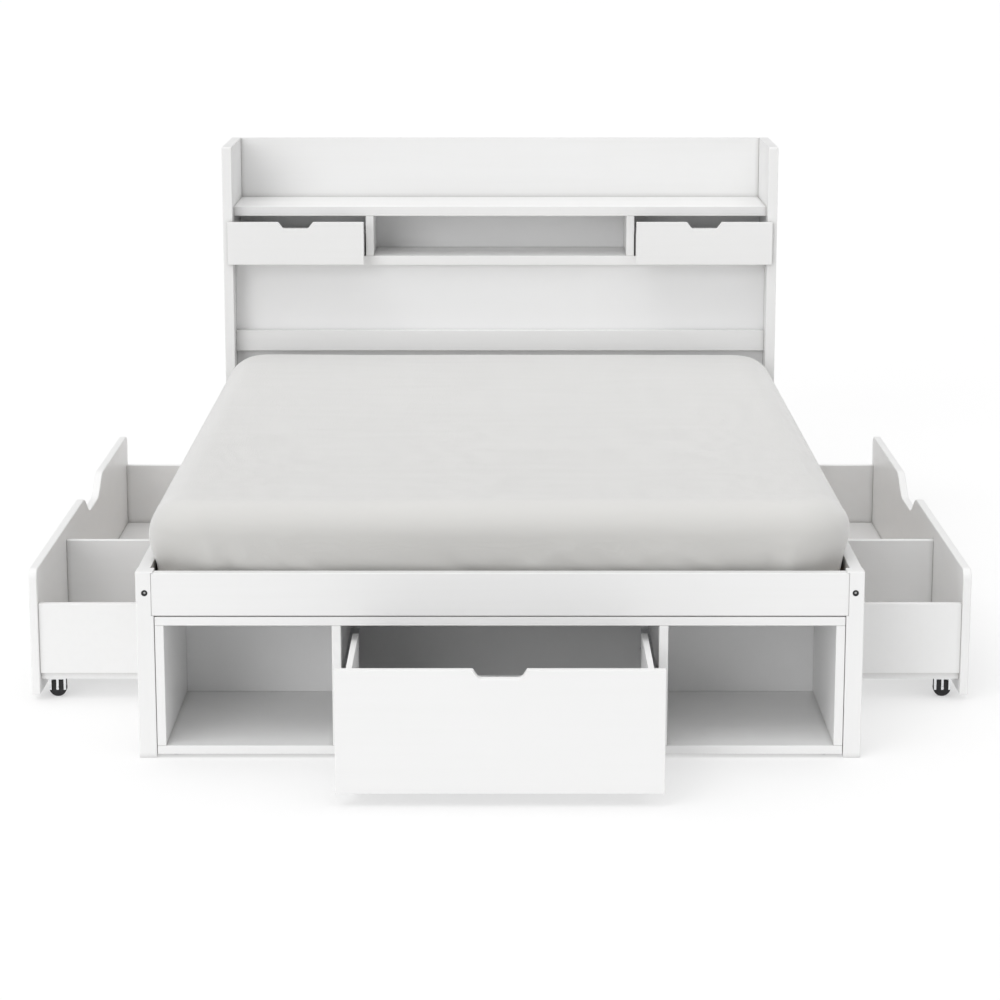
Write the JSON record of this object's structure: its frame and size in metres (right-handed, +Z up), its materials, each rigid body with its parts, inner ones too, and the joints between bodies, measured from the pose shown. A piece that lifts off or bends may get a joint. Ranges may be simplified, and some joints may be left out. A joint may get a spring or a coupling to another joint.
{
  "type": "platform bed with storage drawers",
  "caption": "Platform bed with a bookcase headboard, open cubbies and a drawer at the foot, small headboard drawers and long rolling drawers at the sides, with its mattress.",
  "frame": {"origin": "on the floor, under the centre of the bed's bounding box with the drawers as far out as they are at rest", "axes": "+Y towards the headboard, +X to the right seen from the foot, +Z up"},
  "size_m": [2, 2.579, 1.042],
  "materials": {
    "white_paint": "satin white paint on solid wood and MDF boards",
    "white_panel": "thin white-faced board, smoother than the painted wood",
    "pine": "bare planed pine",
    "bolt_steel": "dark plated steel",
    "runner_steel": "bright zinc plated",
    "black_plastic": "moulded black plastic",
    "caster_chrome": "chromed pressed steel",
    "wheel_rubber": "black rubber tyre",
    "sheet_cloth": "light warm grey fitted cotton sheet over the mattress"
  },
  "bodies": {
    "bed": {"left_foot_post": "white_paint", "right_foot_post": "white_paint", "foot_rail": "white_paint", "left_side_rail": "white_paint", "right_side_rail": "white_paint", "slat_ledgers": "pine", "slats": "pine", "centre_beam": "pine", "centre_legs": "pine", "bed_bolts": "bolt_steel", "headboard_left_side": "white_paint", "headboard_right_side": "white_paint", "headboard_upper_panel": "white_paint", "headboard_shelf": "white_paint", "headboard_drawer_floor": "white_paint", "headboard_left_divider": "white_paint", "headboard_right_divider": "white_paint", "headboard_compartment_back": "white_panel", "headboard_lower_panel": "white_panel", "headboard_bottom_rail": "white_paint", "head_cross_rail": "white_paint", "storage_top": "white_paint", "storage_floor": "white_paint", "storage_left_side": "white_paint", "storage_right_side": "white_paint", "storage_left_divider": "white_paint", "storage_right_divider": "white_paint", "storage_back": "white_panel", "storage_glides": "black_plastic", "storage_runners": "runner_steel", "mattress": "sheet_cloth"},
    "centre_drawer": {"centre_drawer_front": "white_paint", "centre_drawer_sides": "white_paint", "centre_drawer_back": "white_paint", "centre_drawer_bottom": "white_panel", "centre_drawer_runners": "runner_steel"},
    "left_headboard_drawer": {"left_headboard_drawer_front": "white_paint", "left_headboard_drawer_sides": "white_paint", "left_headboard_drawer_back": "white_paint", "left_headboard_drawer_bottom": "white_panel"},
    "right_headboard_drawer": {"right_headboard_drawer_front": "white_paint", "right_headboard_drawer_sides": "white_paint", "right_headboard_drawer_back": "white_paint", "right_headboard_drawer_bottom": "white_panel"},
    "left_side_drawer": {"left_side_drawer_front": "white_paint", "left_side_drawer_ends": "white_paint", "left_side_drawer_divider": "white_paint", "left_side_drawer_back": "white_paint", "left_side_drawer_base": "white_paint", "left_side_drawer_casters": "caster_chrome"},
    "left_outer_wheels": {"left_side_drawer_outer_wheels": "wheel_rubber"},
    "left_inner_wheels": {"left_side_drawer_inner_wheels": "wheel_rubber"},
    "right_side_drawer": {"right_side_drawer_front": "white_paint", "right_side_drawer_ends": "white_paint", "right_side_drawer_divider": "white_paint", "right_side_drawer_back": "white_paint", "right_side_drawer_base": "white_paint", "right_side_drawer_casters": "caster_chrome"},
    "right_outer_wheels": {"right_side_drawer_outer_wheels": "wheel_rubber"},
    "right_inner_wheels": {"right_side_drawer_inner_wheels": "wheel_rubber"}
  },
  "joints": [
    {"name": "centre_drawer_slide", "type": "slide", "parent": "bed", "child": "centre_drawer", "axis": [0, -1, 0], "range_m": [-0.32, 0.03]},
    {"name": "left_headboard_drawer_slide", "type": "slide", "parent": "bed", "child": "left_headboard_drawer", "axis": [0, -1, 0], "range_m": [0, 0.15]},
    {"name": "right_headboard_drawer_slide", "type": "slide", "parent": "bed", "child": "right_headboard_drawer", "axis": [0, -1, 0], "range_m": [0, 0.15]},
    {"name": "left_side_drawer_slide", "type": "slide", "parent": "bed", "child": "left_side_drawer", "axis": [-1, 0, 0], "range_m": [-0.28, 0.2]},
    {"name": "left_outer_wheels_roll", "type": "hinge", "parent": "left_side_drawer", "child": "left_outer_wheels", "pos_m": [-0.95, 0.2045, 0.019], "axis": [0, 1, 0], "continuous": true},
    {"name": "left_inner_wheels_roll", "type": "hinge", "parent": "left_side_drawer", "child": "left_inner_wheels", "pos_m": [-0.49, 0.2045, 0.019], "axis": [0, 1, 0], "continuous": true},
    {"name": "right_side_drawer_slide", "type": "slide", "parent": "bed", "child": "right_side_drawer", "axis": [1, 0, 0], "range_m": [-0.28, 0.2]},
    {"name": "right_outer_wheels_roll", "type": "hinge", "parent": "right_side_drawer", "child": "right_outer_wheels", "pos_m": [0.95, 0.2045, 0.019], "axis": [0, 1, 0], "continuous": true},
    {"name": "right_inner_wheels_roll", "type": "hinge", "parent": "right_side_drawer", "child": "right_inner_wheels", "pos_m": [0.49, 0.2045, 0.019], "axis": [0, 1, 0], "continuous": true}
  ],
  "couplings": [
    {"joint": "left_outer_wheels_roll", "follows": "left_side_drawer_slide", "rad_per_m": -52.632},
    {"joint": "left_inner_wheels_roll", "follows": "left_side_drawer_slide", "rad_per_m": -52.632},
    {"joint": "right_outer_wheels_roll", "follows": "right_side_drawer_slide", "rad_per_m": 52.632},
    {"joint": "right_inner_wheels_roll", "follows": "right_side_drawer_slide", "rad_per_m": 52.632}
  ]
}
